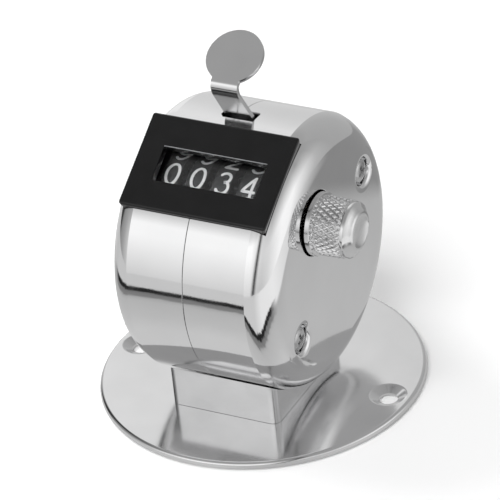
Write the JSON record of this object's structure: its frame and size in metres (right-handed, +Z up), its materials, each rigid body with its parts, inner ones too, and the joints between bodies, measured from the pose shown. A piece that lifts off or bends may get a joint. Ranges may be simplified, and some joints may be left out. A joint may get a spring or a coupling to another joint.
{
  "type": "desk tally counter",
  "caption": "Round chromed tally counter on a disc base, with a number window, thumb lever and reset knob.",
  "frame": {"origin": "centre of the base disc's underside", "axes": "+Z up, the number window faces -Y, the reset knob is on +X"},
  "size_m": [0.06, 0.06, 0.0687],
  "materials": {
    "base_chrome": "polished, with fine brushing on its face",
    "pedestal_chrome": "polished",
    "case_chrome": "mirror polished",
    "lever_chrome": "mirror polished",
    "knob_chrome": "bright, with a diamond knurl",
    "case_screw_steel": "bright plated",
    "fastener_steel": "plated",
    "bezel_plastic": "black satin",
    "lens_clear": "clear",
    "wheel_black": "matte black with white digits",
    "pinion_white": "natural white",
    "ratchet_brass": "bright",
    "post_brass": "turned",
    "frame_steel": "stamped, plated",
    "spring_steel": "spring temper"
  },
  "bodies": {
    "case": {"base_plate": "base_chrome", "pedestal": "pedestal_chrome", "base_screw_left": "fastener_steel", "base_screw_right": "fastener_steel", "base_nut_left": "fastener_steel", "base_nut_right": "fastener_steel", "left_shell": "case_chrome", "right_shell": "case_chrome", "window_bezel": "bezel_plastic", "window_lens": "lens_clear", "case_post_upper": "post_brass", "case_post_lower": "post_brass", "case_screw_upper": "case_screw_steel", "case_screw_lower": "case_screw_steel", "left_frame_plate": "frame_steel", "right_frame_plate": "frame_steel", "tie_rod_lower": "frame_steel", "tie_rod_rear": "frame_steel", "pinion_shaft": "frame_steel", "lever_pivot_pin": "frame_steel", "lever_return_spring": "spring_steel", "ratchet_detent": "spring_steel"},
    "lever": {"thumb_lever": "lever_chrome", "drive_pawl_pin": "frame_steel", "pawl_spring": "spring_steel"},
    "pawl": {"drive_pawl": "ratchet_brass"},
    "reset": {"wheel_shaft": "frame_steel", "shaft_clip": "spring_steel", "reset_knob": "knob_chrome"},
    "units": {"number_wheel_units": "wheel_black", "ratchet_wheel": "ratchet_brass"},
    "tens": {"number_wheel_tens": "wheel_black"},
    "hundreds": {"number_wheel_hundreds": "wheel_black"},
    "thousands": {"number_wheel_thousands": "wheel_black"},
    "tens_pinion": {"carry_pinion_tens": "pinion_white"},
    "hundreds_pinion": {"carry_pinion_hundreds": "pinion_white"},
    "thousands_pinion": {"carry_pinion_thousands": "pinion_white"}
  },
  "joints": [
    {"name": "lever_press", "type": "hinge", "parent": "case", "child": "lever", "pos_m": [0, -0.0174, 0.039], "axis": [-1, 0, 0], "range_deg": [0, 12], "stiffness_Nm_per_rad": 0.3, "springref_deg": -14.32, "deforming": ["lever_return_spring"]},
    {"name": "pawl_swing", "type": "hinge", "parent": "lever", "child": "pawl", "pos_m": [0.00883, 0.0032, 0.0485], "axis": [1, 0, 0], "range_deg": [0, 10], "stiffness_Nm_per_rad": 0.005, "springref_deg": -11.46, "deforming": ["pawl_spring"]},
    {"name": "knob_turn", "type": "hinge", "parent": "case", "child": "reset", "pos_m": [0, -0.0047, 0.03876], "axis": [1, 0, 0], "continuous": true},
    {"name": "units_turn", "type": "hinge", "parent": "case", "child": "units", "pos_m": [0.00653, -0.0047, 0.03876], "axis": [-1, 0, 0], "continuous": true, "deforming": ["ratchet_detent"]},
    {"name": "tens_turn", "type": "hinge", "parent": "case", "child": "tens", "pos_m": [0.00145, -0.0047, 0.03876], "axis": [-1, 0, 0], "continuous": true},
    {"name": "hundreds_turn", "type": "hinge", "parent": "case", "child": "hundreds", "pos_m": [-0.00362, -0.0047, 0.03876], "axis": [-1, 0, 0], "continuous": true},
    {"name": "thousands_turn", "type": "hinge", "parent": "case", "child": "thousands", "pos_m": [-0.00869, -0.0047, 0.03876], "axis": [-1, 0, 0], "continuous": true},
    {"name": "tens_pinion_turn", "type": "hinge", "parent": "case", "child": "tens_pinion", "pos_m": [0.00365, 0.00333, 0.03314], "axis": [-1, 0, 0], "continuous": true},
    {"name": "hundreds_pinion_turn", "type": "hinge", "parent": "case", "child": "hundreds_pinion", "pos_m": [-0.00142, 0.00333, 0.03314], "axis": [-1, 0, 0], "continuous": true},
    {"name": "thousands_pinion_turn", "type": "hinge", "parent": "case", "child": "thousands_pinion", "pos_m": [-0.00649, 0.00333, 0.03314], "axis": [-1, 0, 0], "continuous": true}
  ],
  "couplings": [
    {"joint": "tens_turn", "follows": "units_turn", "ratio": 0.1},
    {"joint": "hundreds_turn", "follows": "units_turn", "ratio": 0.01},
    {"joint": "thousands_turn", "follows": "units_turn", "ratio": 0.001},
    {"joint": "tens_pinion_turn", "follows": "units_turn", "ratio": -0.25},
    {"joint": "hundreds_pinion_turn", "follows": "units_turn", "ratio": -0.025},
    {"joint": "thousands_pinion_turn", "follows": "units_turn", "ratio": -0.0025}
  ]
}
